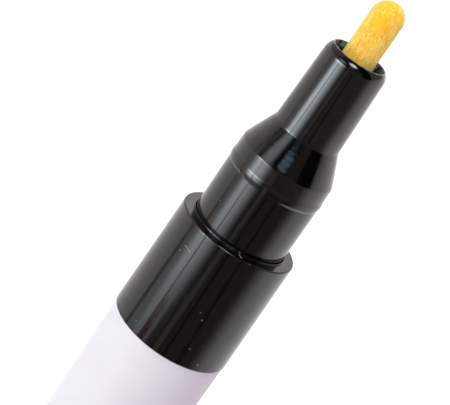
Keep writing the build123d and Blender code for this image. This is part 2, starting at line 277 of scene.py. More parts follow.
def nibFibre():
    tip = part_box("nib")[1].z
    look = {
        "stops": [
            (0.0, (0.86, 0.42, 0.025)), (0.35, (0.97, 0.55, 0.06)),
            (0.65, (1.0, 0.67, 0.14)), (1.0, (1.0, 0.82, 0.36)),
        ],
        "fibreScale": 3600, "fibreStretch": (1, 1, 5), "lean": 0.45, "leanStretch": (1, 1, 4),
        "fibreMiddle": 0.6, "fibreContrast": 3.2, "reliefDepth": 2e-5, "roughness": 0.95, "fibreRough": 0.2,
        "clumpScale": 620, "clumpStretch": (1, 1, 1.5), "clumpMiddle": 0.5, "clumpContrast": 0.8,
        # painted light: the fibre is paler at the foot, which the mouth shades, and on the right side, away from
        # the left light; painted shade: deeper at the tip
        "paintedLightFoot": (tip - 6.84 * mm, tip - 4.84 * mm), "pale": 0.12, "paintedLightSide": (0, 2 * mm), "paintedSideLight": 0.1,
        "paintedShadeTip": (tip - 1.54 * mm, tip - 0.04 * mm), "paintedTipShade": 0.2, "depth": 0.5,
        "soaked": (1.0, 0.56, 0.008, 1), "spot": (-0.15 * mm, -1.9 * mm, tip - 2.44 * mm),
        "spotEdge": (0.4 * mm, 1.7 * mm), "spotWet": 0.75, "clumpEdge": (0.52, 0.7), "clumpWet": 0.3,
    }
    material, shader, place = newFinish("nibFibre", {
        "Sheen Weight": 0.7, "Sheen Roughness": 0.4, "Sheen Tint": (1.0, 0.82, 0.5, 1),
        "Subsurface Weight": 0.5, "Subsurface Radius": (1.0, 0.5, 0.15), "Subsurface Scale": 0.5 * mm,
    })
    straight = stretched(place, look["fibreStretch"])
    straight = noise(straight, look["fibreScale"], roughness=0.55, distortion=0.5)
    fibre = straight
    for lean in (-look["lean"], look["lean"]):
        leaning = stretched(place, look["leanStretch"], (lean, lean, 0))
        crossing = noise(leaning, look["fibreScale"], roughness=0.55, distortion=0.8)
        fibre = fibre.math("MAXIMUM", fibre, crossing)
    clump = noise(stretched(place, look["clumpStretch"]), look["clumpScale"], distortion=0.5)
    x, _, z = axes(place)
    # pale carries painted light and shade: lighter at the shaded foot and right side, deeper at the brightly lit
    # tip
    pale = z.fade(*look["paintedLightFoot"]) * look["pale"]
    pale = pale + x.ease(*look["paintedLightSide"]) * look["paintedSideLight"] - z.ease(*look["paintedShadeTip"]) * look["paintedTipShade"]
    depth = (fibre - look["fibreMiddle"]) * look["fibreContrast"]
    depth = depth + (clump - look["clumpMiddle"]) * look["clumpContrast"] + pale + look["depth"]
    shade = depth.node("ShaderNodeValToRGB", {"stops": look["stops"]}, {"Fac": depth})
    wet = vectorMath("DISTANCE", place, look["spot"]).fade(*look["spotEdge"]) * look["spotWet"]
    wet = wet + clump.ease(*look["clumpEdge"]) * look["clumpWet"]
    shade = wet.tint(shade, look["soaked"])
    gloss = look["roughness"] - straight * look["fibreRough"]
    feed(shader, fibre, look["reliefDepth"], Base_Color=shade, Roughness=gloss)
    return material


def twoShades(name, constants, look):  # blotches of two shades, and a finer grain as relief
    material, shader, place = newFinish(name, constants)
    layers = []
    for layer in (look["blotch"], look["grain"]):
        lie = noise(stretched(place, layer.get("stretch", (1, 1, 1))), layer["scale"], layer["detail"])
        layers.append(lie.ease(*layer["edge"]) if "edge" in layer else lie)
    blotch, grain = layers
    gloss = blotch * look["blotch"]["rough"] + grain * look["grain"]["rough"] + look["roughness"]
    feed(shader, grain, look["grain"]["depth"], Base_Color=blotch.tint(*look["shades"]), Roughness=gloss)
    return material


plainFinishes = {
    "natural_plastic": ("naturalPlastic", {"IOR": 1.51}, {
        "shades": ((0.80, 0.80, 0.76, 1), (0.66, 0.65, 0.58, 1)), "roughness": 0.36,
        "blotch": {"scale": 240, "detail": 3.0, "edge": (0.35, 0.8), "rough": 0.0},
        "grain": {"scale": 5200, "detail": 1.0, "depth": 2.5e-6, "rough": 0.12},
    }),
    "soft_seal": ("softSeal", {"IOR": 1.52}, {
        "shades": ((0.028, 0.028, 0.030, 1), (0.085, 0.083, 0.080, 1)), "roughness": 0.62,
        "blotch": {"scale": 900, "detail": 4.0, "edge": (0.45, 0.8), "rough": 0.2},
        "grain": {"scale": 7000, "detail": 2.0, "depth": 4e-6, "rough": 0.0},
    }),
    "spring_steel": ("springSteel", {"Metallic": 1.0}, {
        "shades": ((0.62, 0.61, 0.60, 1), (0.40, 0.385, 0.37, 1)), "roughness": 0.26,
        "blotch": {"scale": 3800, "detail": 3.0, "stretch": (5, 5, 1), "edge": (0.35, 0.75), "rough": 0.0},
        "grain": {"scale": 3800, "detail": 3.0, "stretch": (5, 5, 1), "depth": 2e-6, "rough": 0.2},
    }),
    "ball_steel": ("ballSteel", {"Metallic": 1.0}, {
        "shades": ((0.70, 0.70, 0.71, 1), (0.52, 0.51, 0.50, 1)), "roughness": 0.07,
        "blotch": {"scale": 1300, "detail": 4.0, "edge": (0.5, 0.72), "rough": 0.15},
        "grain": {
            "scale": 9000, "detail": 2.0, "stretch": (1, 12, 2), "edge": (0.6, 0.7),
            "depth": 6e-7, "rough": 0.08,
        },
    }),
}
finishes = {
    "black_gloss": blackGloss("blackGloss"), "white_lacquer": whiteLacquer(), "nib_fibre": nibFibre(),
    **{slot: twoShades(*values) for slot, values in plainFinishes.items()},
}
print("finishes:", ", ".join(finishes))


# Geometry Nodes: each tree starts from a base mesh and ends as a plain dressed mesh

def newTree(name, inputs):
    tree = bpy.data.node_groups.new(name, "GeometryNodeTree")
    tree.interface.new_socket("Geometry", in_out="INPUT", socket_type="NodeSocketGeometry")
    for label, kind in inputs.items():
        tree.interface.new_socket(label, in_out="INPUT", socket_type="NodeSocket" + kind)
    tree.interface.new_socket("Finish", in_out="INPUT", socket_type="NodeSocketMaterial")
    tree.interface.new_socket("Geometry", in_out="OUTPUT", socket_type="NodeSocketGeometry")
    group = tree.nodes.new("NodeGroupInput")
    return tree, {socket.name: Wire(tree, socket) for socket in group.outputs if socket.name}


def endTree(tree, shape, given):
    whole = shape.node("GeometryNodeRealizeInstances", {}, {"Geometry": shape})
    dressed = whole.node("GeometryNodeSetMaterial", {}, {"Geometry": whole, "Material": given["Finish"]})
    tree.links.new(dressed.socket, tree.nodes.new("NodeGroupOutput").inputs["Geometry"])
    return tree


def onCircle(radius, angle, height):
    return angle.node("ShaderNodeCombineXYZ", {}, {
        "X": radius * angle.math("COSINE", angle), "Y": radius * angle.math("SINE", angle), "Z": height,
    })


def spun(profile, around):  # turns a profile in the XZ plane about the Z axis
    place = profile.node("GeometryNodeInputPosition")
    kept = profile.node("GeometryNodeCaptureAttribute", {"keeps": "VECTOR"}, {0: profile, 1: place})
    ring = profile.node("GeometryNodeCurvePrimitiveCircle", {}, {"Resolution": around})
    count = profile.node("GeometryNodeInputIndex")
    numbered = ring.node("GeometryNodeCaptureAttribute", {"keeps": "INT"}, {0: ring, 1: count})
    skin = kept.node("GeometryNodeCurveToMesh", {}, {"Curve": numbered, "Profile Curve": kept})
    angle = numbered.beside("Kept") * math.tau / around
    radius, _, height = axes(kept.beside("Kept"))
    skin = skin.node("GeometryNodeSetPosition", {}, {
        "Geometry": skin, "Position": onCircle(radius, angle, height),
    })
    return skin.node("GeometryNodeMergeByDistance", {}, {"Geometry": skin, "Distance": weldWithin})


def rounded(outline, steps):  # the outline's corners, each with the radius that it carries
    profile = outline.node("GeometryNodeMeshToCurve", {}, {"Mesh": outline})
    radius = outline.node("GeometryNodeInputNamedAttribute", {"data_type": "FLOAT"}, {"Name": "round"})
    return profile.node("GeometryNodeFilletCurve", {"mode": "POLY"}, {
        "Curve": profile, "Count": steps, "Radius": radius, "Limit Radius": True,
    })


def smoothed(skin, sharpAbove):  # smooth faces, with the edges over an angle kept crisp
    skin = skin.node("GeometryNodeSetShadeSmooth", {"domain": "FACE"}, {"Geometry": skin})
    bend = skin.node("GeometryNodeInputMeshEdgeAngle")
    return skin.node("GeometryNodeSetShadeSmooth", {"domain": "EDGE"}, {
        "Geometry": skin, "Selection": bend > sharpAbove, "Shade Smooth": False,
    })


def turnedTree():
    tree, given = newTree("turnedOnAxis", {"Around": "Int", "Round Steps": "Int", "Sharp Above": "Float"})
    profile = rounded(given["Geometry"], given["Round Steps"])
    skin = smoothed(spun(profile, given["Around"]), given["Sharp Above"])
    return endTree(tree, skin, given)


feltGroove = {"wander": 1.2, "edge": (0.3, 0.7)}  # how grooves stray, and the noise they take


def feltTree():  # a turned rod of bonded fibres, with grooves between them along the rod
    tree, given = newTree("feltRod", {
        "Around": "Int", "Round Steps": "Int", "Row": "Float",
        "Groove Width": "Float", "Groove Length": "Float", "Groove Depth": "Float",
    })
    profile = rounded(given["Geometry"], given["Round Steps"])
    profile = profile.node("GeometryNodeResampleCurve", {"mode": "LENGTH"}, {
        "Curve": profile, "Length": given["Row"],
    })
    skin = spun(profile, given["Around"])
    place = skin.node("GeometryNodeInputPosition")
    across = 1 / given["Groove Width"]
    share = skin.node("ShaderNodeCombineXYZ", {}, {"X": across, "Y": across, "Z": 1 / given["Groove Length"]})
    lie = noise(vectorMath("MULTIPLY", place, share), 1.0, distortion=feltGroove["wander"])
    out = skin.node("GeometryNodeInputNormal")
    sunk = vectorMath("SCALE", out, (lie.ease(*feltGroove["edge"]) - 1) * given["Groove Depth"])
    skin = skin.node("GeometryNodeSetPosition", {}, {"Geometry": skin, "Offset": sunk})
    return endTree(tree, smoothed(skin, math.pi), given)


fibreEnd = {
    "points": 4, "sides": 3, "bow": 0.12, "taper": 0.6, "shortest": 0.35, "seedStep": 7,
    "strayLow": (-1, -1, -0.4), "strayHigh": (1, 1, 0.4),
}


def napTree():  # loose fibre ends over the part of a surface above a height
    tree, given = newTree("napStrands", {
        "Density": "Float", "From Height": "Float", "Length": "Float", "Thickness": "Float",
        "Stand": "Float", "Stray": "Float", "Seed": "Int",
    })
    skin = given["Geometry"]
    place = skin.node("GeometryNodeInputPosition")
    height = axes(place)[2]
    points = skin.node("GeometryNodeDistributePointsOnFaces", {"distribute_method": "RANDOM"}, {
        "Mesh": skin, "Selection": height > given["From Height"],
        "Density": given["Density"], "Seed": given["Seed"],
    })
    strand = skin.node("GeometryNodeCurvePrimitiveLine")  # one long, on the Z axis
    strand = strand.node("GeometryNodeResampleCurve", {"mode": "COUNT"}, {
        "Curve": strand, "Count": fibreEnd["points"],
    })
    along = strand.node("GeometryNodeSplineParameter")
    bow = strand.node("ShaderNodeCombineXYZ", {}, {
        "X": along * along * given["Length"] * fibreEnd["bow"],
    })
    strand = strand.node("GeometryNodeSetPosition", {}, {"Geometry": strand, "Offset": bow})
    section = strand.node("GeometryNodeCurvePrimitiveCircle", {}, {
        "Resolution": fibreEnd["sides"], "Radius": given["Thickness"],
    })
    strand = strand.node("GeometryNodeCurveToMesh", {}, {
        "Curve": strand, "Profile Curve": section, "Scale": 1 - along * fibreEnd["taper"], "Fill Caps": True,
    })
    stray = skin.node("FunctionNodeRandomValue", {"data_type": "FLOAT_VECTOR"}, {
        "Min": fibreEnd["strayLow"], "Max": fibreEnd["strayHigh"], "Seed": given["Seed"],
    })
    out = points.beside("Normal")
    heading = vectorMath("ADD", vectorMath("SCALE", stray, given["Stray"]), (0, 0, 1))
    heading = vectorMath("SUBTRACT", heading, vectorMath("PROJECT", heading, out))
    heading = vectorMath("ADD", heading, vectorMath("SCALE", out, given["Stand"]))
    turn = heading.node("FunctionNodeAlignRotationToVector", {"axis": "Z"}, {"Vector": heading})
    longer = skin.node("FunctionNodeRandomValue", {"data_type": "FLOAT"}, {
        "Min": fibreEnd["shortest"], "Max": 1.0, "Seed": given["Seed"] + fibreEnd["seedStep"],
    }, out=1)
    size = longer.node("ShaderNodeCombineXYZ", {}, {"X": 1.0, "Y": 1.0, "Z": longer * given["Length"]})
    strands = points.node("GeometryNodeInstanceOnPoints", {}, {
        "Points": points, "Instance": strand, "Rotation": turn, "Scale": size,
    })
    return endTree(tree, strands, given)


def roundelTree():  # copies of one piece about the Z axis
    tree, given = newTree("aboutAxis", {"Count": "Int", "First Angle": "Float"})
    points = given["Count"].node("GeometryNodePoints", {}, {"Count": given["Count"]})
    number = points.node("GeometryNodeInputIndex")
    turn = points.node("ShaderNodeCombineXYZ", {}, {
        "Z": number * math.tau / given["Count"] + given["First Angle"],
    })
    copies = points.node("GeometryNodeInstanceOnPoints", {}, {
        "Points": points, "Instance": given["Geometry"], "Rotation": turn,
    })
    return endTree(tree, copies, given)


def coilTree():  # one wire wound about the Z axis, with closed end turns
    tree, given = newTree("woundWire", {
        "Turns": "Float", "Closed Turns": "Float", "Radius": "Float", "Wire": "Float",
        "Low": "Float", "High": "Float", "Steps": "Int", "Sides": "Int", "Sharp Above": "Float",
    })
    line = given["Turns"].node("GeometryNodeCurvePrimitiveLine")
    line = line.node("GeometryNodeResampleCurve", {"mode": "COUNT"}, {"Curve": line, "Count": given["Steps"]})
    turns = line.node("GeometryNodeSplineParameter") * given["Turns"]
    angle = turns * math.tau
    rise = line.node("ShaderNodeMapRange", {}, {
        "Value": turns, "From Min": given["Closed Turns"],
        "From Max": given["Turns"] - given["Closed Turns"],
        "To Min": given["Low"], "To Max": given["High"],
    })
    line = line.node("GeometryNodeSetPosition", {}, {
        "Geometry": line, "Position": onCircle(given["Radius"], angle, rise),
    })
    section = line.node("GeometryNodeCurvePrimitiveCircle", {}, {
        "Resolution": given["Sides"], "Radius": given["Wire"] / 2,
    })
    wire = line.node("GeometryNodeCurveToMesh", {}, {
        "Curve": line, "Profile Curve": section, "Fill Caps": True,
    })
    return endTree(tree, smoothed(wire, given["Sharp Above"]), given)


def newThing(name, data):
    thing = bpy.data.objects.new(name, data)
    bpy.context.scene.collection.objects.link(thing)
    return thing


def grown(name, base, tree, sizes, finish):  # the plain mesh that a tree makes from a base mesh
    piece = newThing(name, base)
    modifier = piece.modifiers.new(tree.name, "NODES")
    modifier.node_group = tree
    for socket in tree.interface.items_tree:
        if socket.in_out == "INPUT" and socket.name in sizes:
            modifier[socket.identifier] = sizes[socket.name]
        elif socket.name == "Finish":
            modifier[socket.identifier] = finish
    dressed = piece.evaluated_get(bpy.context.evaluated_depsgraph_get())
    mesh = bpy.data.meshes.new_from_object(dressed)
    piece.modifiers.remove(modifier)
    work = bmesh.new()
    work.from_mesh(mesh)
    bmesh.ops.recalc_face_normals(work, faces=work.faces)
    work.to_mesh(mesh)
    work.free()
    mesh.name = name
    piece.data = mesh
    print(" ", name, len(mesh.polygons), "faces")
    return piece


def placed(piece, body, slot, *nodes):
    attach(piece, body)
    if nodes:
        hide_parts(*nodes)


def outlineMesh(name, corners):  # corners are (radius, height, rounding), open if the first is on the axis
    mesh = bpy.data.meshes.new(name)
    count = len(corners)
    last = count if corners[0][0] > 0 else count - 1
    points = [(radius * mm, 0, height * mm) for radius, height, _ in corners]
    mesh.from_pydata(points, [(here, (here + 1) % count) for here in range(last)], [])
    rounding = mesh.attributes.new("round", "FLOAT", "POINT")
    rounding.data.foreach_set("value", [corner[2] * mm for corner in corners])
    return mesh


def swell(radius, middle, height, proud):  # a low bead on a wall, or a groove where proud is negative
    half = height / 2
    bend = (half**2 + proud**2) / (2 * abs(proud))
    peak = math.copysign(half * math.tan(math.asin(half / bend)), proud)
    low, high = (radius, middle - half, swellEdge), (radius, middle + half, swellEdge)
    return [low, (radius + peak, middle, bend), high]


def span(node):  # lowest height, highest height and radius of a turned node
    low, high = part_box(node)
    return low.z / mm, high.z / mm, high.x / mm


def jointNamed(name):
    return next(joint for joint in frame["joints"] if joint["name"] == name)


turnedSizes = {"Around": 224, "Round Steps": 9, "Sharp Above": math.radians(32)}
trees = {
    "turned": turnedTree(), "felt": feltTree(), "nap": napTree(),
    "roundel": roundelTree(), "coil": coilTree(),
}


def turned(name, corners, body, slot, *nodes, finish=None):
    piece = grown(name, outlineMesh(name, corners), trees["turned"], turnedSizes, finish or finishes[slot])
    even = piece.modifiers.new("evenShade", "WEIGHTED_NORMAL")
    even.keep_sharp = True
    placed(piece, body, slot, *nodes)


# Levels that several pieces share
tailLow, tailTop, tailRadius = span("tail_plug")
barrelLow, barrelTop, barrelRadius = span("barrel")
collarLow, collarTop, collarRadius = span("collar")
noseLow, mouthTop, flangeRadius = span("nose")
nibLow, nibTop, nibRadius = span("nib")

barrel = {
    "wall": 0.6, "throatDraw": 0.9, "throatWall": 0.8, "shoulder": 0.9, "shoulderRound": 0.4,
    "crimpHeight": 1.8, "crimpDepth": 0.3, "edge": 0.12, "shoulderDrop": 0.1,
    "grooveDrop": 0.42, "grooveHeight": 0.5, "grooveDepth": 0.03,
}
barrel["crimpMiddle"] = (collarLow + barrel["shoulder"] + barrelTop) / 2


def makeBarrel():
    bore = barrelRadius - barrel["wall"]
    throat = barrelRadius - barrel["throatDraw"]
    throatBore = throat - barrel["throatWall"]
    low = collarLow - barrel["shoulderDrop"]
    high = low + barrel["shoulder"]
    groove = collarLow - barrel["grooveDrop"], barrel["grooveHeight"], -barrel["grooveDepth"]
    crimp = barrel["crimpMiddle"], barrel["crimpHeight"], -barrel["crimpDepth"]
    turned("barrel", [
        (bore, barrelLow, barrel["edge"]),
        (barrelRadius, barrelLow, barrel["edge"]),
        *swell(barrelRadius, *groove),
        (barrelRadius, low, barrel["shoulderRound"]),
        (throat, high, barrel["shoulderRound"]),
        *swell(throat, *crimp),
        (throat, barrelTop, barrel["edge"]),
        (throatBore, barrelTop, barrel["edge"]),
        *reversed(swell(throatBore, *crimp)),
        (throatBore, high, barrel["shoulderRound"]),
        (bore, low, barrel["shoulderRound"]),
    ], "barrel_unit", "white_lacquer", "barrel")


collar = {
    "draft": 0.19, "plate": 1.6, "fit": 0.05, "frontRound": 0.2, "rearRound": 0.05,
    "mouthRadius": 6.17, "lipHeight": 0.2, "lipWidth": 0.12, "lipRound": 0.055, "edge": 0.1, "snapDepth": 0.2,
    "scratches": [  # on the wall: two ends, each (x, drop from the front face), and a width
        ((-4.34, 2.77), (-3.44, 2.93), 0.03), ((-4.55, 3.69), (-4.52, 3.69), 0.06),
        ((2.1, 8.87), (2.16, 8.93), 0.06), ((2.7, 12.82), (3.0, 12.85), 0.025),
        ((4.68, 14.4), (4.72, 14.45), 0.08),
    ],
    "hairs": [  # on the lip and the front face: two ends, each (x, y, height over the face), and a width
        ((1.2, -6.1, 0.2), (1.3, -6.13, 0.2), 0.06), ((1.3, -6.3, 0), (1.8, -6.8, 0), 0.07),
    ],
}


def makeCollar():
    bore = barrelRadius - barrel["throatDraw"] + collar["fit"]
    plateLow, lipTop = collarTop - collar["plate"], collarTop + collar["lipHeight"]
    lines = list(collar["hairs"])
    for start, end, width in collar["scratches"]:
        wall = collarRadius - collar["draft"] * (1 - start[1] / (collarTop - collarLow))
        lines.append((*((x, -math.sqrt(wall**2 - x**2), -drop) for x, drop in (start, end)), width))
    face = Vector((0, 0, collarTop))
    marks = [(*((face + Vector(end)) * mm for end in ends), width * mm) for *ends, width in lines]
    turned("collar", [
        *swell(bore, barrel["crimpMiddle"], barrel["crimpHeight"], -collar["snapDepth"]),
        (bore, plateLow, collar["edge"]),
        (collar["mouthRadius"], plateLow, collar["edge"]),
        (collar["mouthRadius"], lipTop, collar["lipRound"]),
        (collar["mouthRadius"] + collar["lipWidth"], lipTop, collar["lipRound"]),
        (collar["mouthRadius"] + collar["lipWidth"], collarTop, collar["lipRound"] / 3),
        (collarRadius - collar["draft"], collarTop, collar["frontRound"]),
        (collarRadius, collarLow, collar["rearRound"]),
        (barrelRadius + collar["fit"], collarLow, 0.0),
        (bore, collarLow + barrel["shoulder"], collar["edge"]),
    ], "barrel_unit", "black_gloss", "collar", finish=blackGloss("collarGloss", marks=marks))


nose = {
    "flange": 1.2, "rootRadius": 5.88, "seatDrop": 0.3, "seatRadius": 6.08, "boreRadius": 5.03,
    "seatLength": 7.58, "beadHeight": 1.25, "beadProud": 0.09, "bandLength": 1.85, "bandTaper": 0.055,
    "flareBow": 0.026, "flareBend": 150.0, "flareLength": 4.02, "flareRound": 0.6, "creaseRound": 1.0,
    "wallDrop": 1.0, "neckRadius": 4.015, "neckDraft": 0.26, "neckBore": 3.135,
    "crownLength": 1.3, "crownDrop": 0.58, "rimLand": 0.12, "rimRound": 0.09, "mouthFlare": 1.0,
    "edge": 0.12, "ribCount": 8, "ribThickness": 0.6, "ribInset": 0.5, "ribLead": 0.5,
    "ribRadius": 2.06, "ribRoot": 0.3, "ribEdge": 0.12, "ribSteps": 3, "ribTurn": 0.0,
}


def makeNose():
    flangeTop = noseLow + nose["flange"]
    seatLow = collarTop - nose["seatDrop"]
    beadLow = collarTop + nose["seatLength"]
    bandLow = beadLow + nose["beadHeight"]
    flareLow = bandLow + nose["bandLength"]
    flareHigh = flareLow + nose["flareLength"]
    neckBase = nose["neckRadius"] + nose["neckDraft"]
    crownLow = mouthTop - nose["crownLength"]
    rim = nose["neckRadius"] - nose["crownDrop"]
    mouth = rim - nose["rimLand"]
    # the crown is one arc that leaves the neck smoothly and ends at the rim
    heading = Vector((nose["neckRadius"] - neckBase, crownLow - flareHigh)).normalized()
    chord = Vector((rim - nose["neckRadius"], mouthTop - crownLow))
    reach = chord.length_squared / (2 * heading.dot(chord))
    crownCorner = Vector((nose["neckRadius"], crownLow)) + heading * reach
    crownRound = reach / math.tan(heading.angle(Vector((rim, mouthTop)) - crownCorner) / 2)
    flareFoot = nose["seatRadius"] - nose["bandTaper"]
    noseGloss = blackGloss(
        "noseGloss", wornMouth=(mouthTop * mm, rim * mm),
        satin=(bandLow * mm, flareLow * mm), ripple=(flareLow * mm, flareHigh * mm),
    )
    turned("nose", [
        (nose["boreRadius"], noseLow, nose["edge"]),
        (flangeRadius, noseLow, nose["edge"]),
        (flangeRadius, flangeTop, nose["edge"]),
        (nose["rootRadius"], flangeTop, 0.0),
        (nose["rootRadius"], seatLow, 0.0),
        (nose["seatRadius"], seatLow, nose["edge"] / 2),
        *swell(nose["seatRadius"], (beadLow + bandLow) / 2, nose["beadHeight"], nose["beadProud"]),
        (flareFoot, flareLow, nose["flareRound"]),
        ((flareFoot + neckBase) / 2 + nose["flareBow"], (flareLow + flareHigh) / 2, nose["flareBend"]),
        (neckBase, flareHigh, nose["creaseRound"]),
        (*crownCorner, crownRound),
        (rim, mouthTop, nose["rimRound"]),
        (mouth, mouthTop, nose["rimRound"] / 2),
        (nose["neckBore"], mouthTop - nose["mouthFlare"], nose["edge"]),
        (nose["neckBore"], flareHigh - nose["wallDrop"], nose["edge"]),
        (nose["boreRadius"], flareLow - nose["wallDrop"], nose["edge"]),
    ], "barrel_unit", "black_gloss", "nose", finish=noseGloss)
    makeRibs(flareHigh - nose["wallDrop"], mouthTop - nose["ribInset"], noseGloss)


def makeRibs(low, high, finish):
    outer = nose["neckBore"] + nose["ribRoot"]
    inner = nose["ribRadius"]
    half = nose["ribThickness"] / 2
    outline = [
        (outer, low), (inner, low), (inner, high - nose["ribLead"]),
        (inner + nose["ribLead"], high), (outer, high),
    ]
    work = bmesh.new()
    face = work.faces.new([work.verts.new((x * mm, -half * mm, z * mm)) for x, z in outline])
    pulled = bmesh.ops.extrude_face_region(work, geom=[face])["geom"]
    corners = [part for part in pulled if isinstance(part, bmesh.types.BMVert)]
    bmesh.ops.translate(work, verts=corners, vec=(0, 2 * half * mm, 0))
    bmesh.ops.bevel(
        work, geom=work.edges[:], offset=nose["ribEdge"] * mm, segments=nose["ribSteps"],
        profile=0.5, affect="EDGES",
    )
    for each in work.faces:
        each.smooth = True
    base = bpy.data.meshes.new("rib")
    work.to_mesh(base)
    work.free()
    ribs = grown("noseRibs", base, trees["roundel"], {
        "Count": nose["ribCount"], "First Angle": nose["ribTurn"],
    }, finish)
    placed(ribs, "barrel_unit", "black_gloss")


tail = {
    "flange": 4.0, "floor": 2.0, "edgeRound": 0.8, "edge": 0.15, "skirtRadius": 6.93, "skirtWall": 1.2,
    "beadProud": 0.11, "beadHeight": 0.9, "beadShares": (0.35, 0.75), "gateRadius": 1.5, "gateDepth": 0.4,
}


def makeTail():
    flangeTop = tailLow + tail["flange"]
    skirt = tail["skirtRadius"]
    cup = skirt - tail["skirtWall"]
    beads = []
    for share in tail["beadShares"]:
        middle = flangeTop + (tailTop - flangeTop) * share
        beads += swell(skirt, middle, tail["beadHeight"], tail["beadProud"])
    turned("tailPlug", [
        (0.0, tailLow + tail["gateDepth"], 0.0),
        (tail["gateRadius"], tailLow + tail["gateDepth"], tail["edge"]),
        (tail["gateRadius"], tailLow, tail["edge"]),
        (tailRadius, tailLow, tail["edgeRound"]),
        (tailRadius, flangeTop, tail["edge"]),
        (skirt, flangeTop, 0.0),
        *beads,
        (skirt, tailTop, tail["edge"]),
        (cup, tailTop, tail["edge"]),
        (cup, tailLow + tail["floor"], tail["edgeRound"]),
        (0.0, tailLow + tail["floor"], 0.0),
    ], "barrel_unit", "black_gloss", "tail_plug")


nib = {
    "tailChamfer": 0.3, "edge": 0.1, "stroke": jointNamed("nib_press")["range_m"][1] / mm,
    "felt": {
        "Around": 220, "Round Steps": 24, "Row": 0.15 * mm, "Groove Width": 0.17 * mm,
        "Groove Length": 0.6 * mm, "Groove Depth": 0.05 * mm,
    },
    "nap": {
        "Density": 8e6, "Length": 0.55 * mm, "Thickness": 0.012 * mm,
        "Stand": 0.03, "Stray": 0.5, "Seed": 11,
    },
}


def makeNib():
    fibre = finishes["nib_fibre"]
    rod = grown("nib", outlineMesh("nib", [
        (0.0, nibLow, 0.0),
        (nibRadius - nib["tailChamfer"], nibLow, nib["edge"]),
        (nibRadius, nibLow + nib["tailChamfer"], nib["edge"]),
        (nibRadius, nibTop, nibRadius),
        (0.0, nibTop, 0.0),
    ]), trees["felt"], nib["felt"], fibre)
    clearOfRibs = mouthTop + nib["stroke"] - nose["ribInset"] + nib["edge"]
    sizes = {**nib["nap"], "From Height": clearOfRibs * mm}
    placed(grown("nibNap", rod.data.copy(), trees["nap"], sizes, fibre), "nib", "nib_fibre")
    placed(rod, "nib", "nib_fibre", "nib")


spring = {"turns": 7, "closedTurns": 0.6, "wire": 0.5, "stepsPerTurn": 48, "sides": 14, "sharpAbove": 1.0}


def makeSpring():
    low, high, outer = span("valve_spring")
    half = spring["wire"] / 2
    lift = jointNamed("valve_lift")
    foot = lift["deforming_nodes"][0]["fixed_end_z_m"]
    coil = grown("valveSpring", bpy.data.meshes.new("spring"), trees["coil"], {
        "Turns": float(spring["turns"]), "Closed Turns": spring["closedTurns"],
        "Radius": (outer - half) * mm, "Wire": spring["wire"] * mm,
        "Low": (low + half) * mm, "High": (high - half) * mm,
        "Steps": spring["turns"] * spring["stepsPerTurn"] + 1, "Sides": spring["sides"],
        "Sharp Above": spring["sharpAbove"],
    }, finishes["spring_steel"])
    placed(coil, "barrel_unit", "spring_steel", "valve_spring")
    length = high * mm - foot
    (length - lift["range_m"][1]) / length
    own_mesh(coil)


makeBarrel()
makeCollar()
makeNose()
makeTail()
makeNib()
makeSpring()

# The pieces inside keep their solids and take their finish from the record's slots
shownSolids = [
    "nose_gasket", "valve_body", "valve_stem", "valve_seal", "spring_retainer",
    "mixing_ball_1", "mixing_ball_2",
]
for row in frame["record"]["subparts"]:
    if row["node"] in shownSolids:
        frame["nodes"][row["node"]].material_slots[0].material = finishes[row["material_slot"]]
print("pieces made, solids dressed:", ", ".join(shownSolids))


# Stage

def hideFrom(thing, *rays):
    for ray in rays:
        setattr(thing, "visible_" + ray, False)


def newCard(name, corners, look):  # a flat card with a faint mottle
    mesh = bpy.data.meshes.new(name)
    mesh.from_pydata(corners, [], [(0, 1, 2, 3)])
    material, shader, place = newFinish(name, {"Specular IOR Level": look["shine"]})
    mottle = noise(place, look["mottleScale"])
    gloss = mottle * look["mottleRough"] + look["roughness"]
    feed(shader, mottle, look["mottleDepth"], Base_Color=mottle.tint(*look["shades"]), Roughness=gloss)
    mesh.materials.append(material)
    return newThing(name, mesh)


floor = {
    "half": 4.0, "shine": 0.1, "shades": ((0.95, 0.95, 0.95, 1), (0.93, 0.93, 0.93, 1)),
    "mottleScale": 3.0, "mottleDepth": 1e-4, "mottleRough": 0.1, "roughness": 0.6,
}


def makeFloor():
    half = floor["half"]
    corners = [(-half, -half, 0), (half, -half, 0), (half, half, 0), (-half, half, 0)]
    plane = newCard("floor", corners, floor)
    hideFrom(plane, "glossy")


# What the gloss mirrors is one lit sphere. Its angles are in degrees: turn goes round from the camera's side,
# with left negative, and rise goes up from level. A pair is where an edge starts and ends, or for a bump,
# its middle and half width.
tent = {
    "centre": 0.115, "radius": 2.0, "spokes": 48, "rings": 24, "white": (1, 1, 1, 1),
    "warm": (1, 0.86, 0.76, 1), "sky": (0.94, 1, 1.04, 1), "cool": (0.62, 0.87, 1.1, 1),
    "red": (1, 0.2, 0.3, 1), "redShare": 0.85, "high": (8, 26), "above": (-18, -14),
    "waveRate": 2.6, "sway": 2.5,
}
darkCards = {
    "blockLeft": (38, 44), "blockRight": (76, 82), "blockLow": (10, 16), "blockTop": (45, 55),
    "hoodLeft": (4, 14), "hoodRight": (70, 84), "hoodLow": (31, 38),
}
walls = {
    "left": 1.0, "leftTop": 0.56, "leftEdge": (-72, -62), "right": 1.22, "rightTop": 0.41,
    "rightEdge": (56, 94), "spread": 24, "spreadRise": (-42, -30),
    "streak": 0.3, "streakTurn": (-7, 6), "streakRise": (-6, 4),
    "seam": 0.75, "seamTurn": (-81, 5), "seamLess": 0.4, "seamRise": (-21, -19.5),
    "rearDrop": 0.14, "rearTurn": (110, 150), "rearRise": (5, 15), "floor": 1.8, "floorRise": (-36, -27),
    "back": 0.75, "backTurn": (148, 160), "backRise": (20.5, 27), "backSoft": 5,
    "slit": 0.75, "slitRise": (20.2, 22.4), "slitSoft": 1,
}
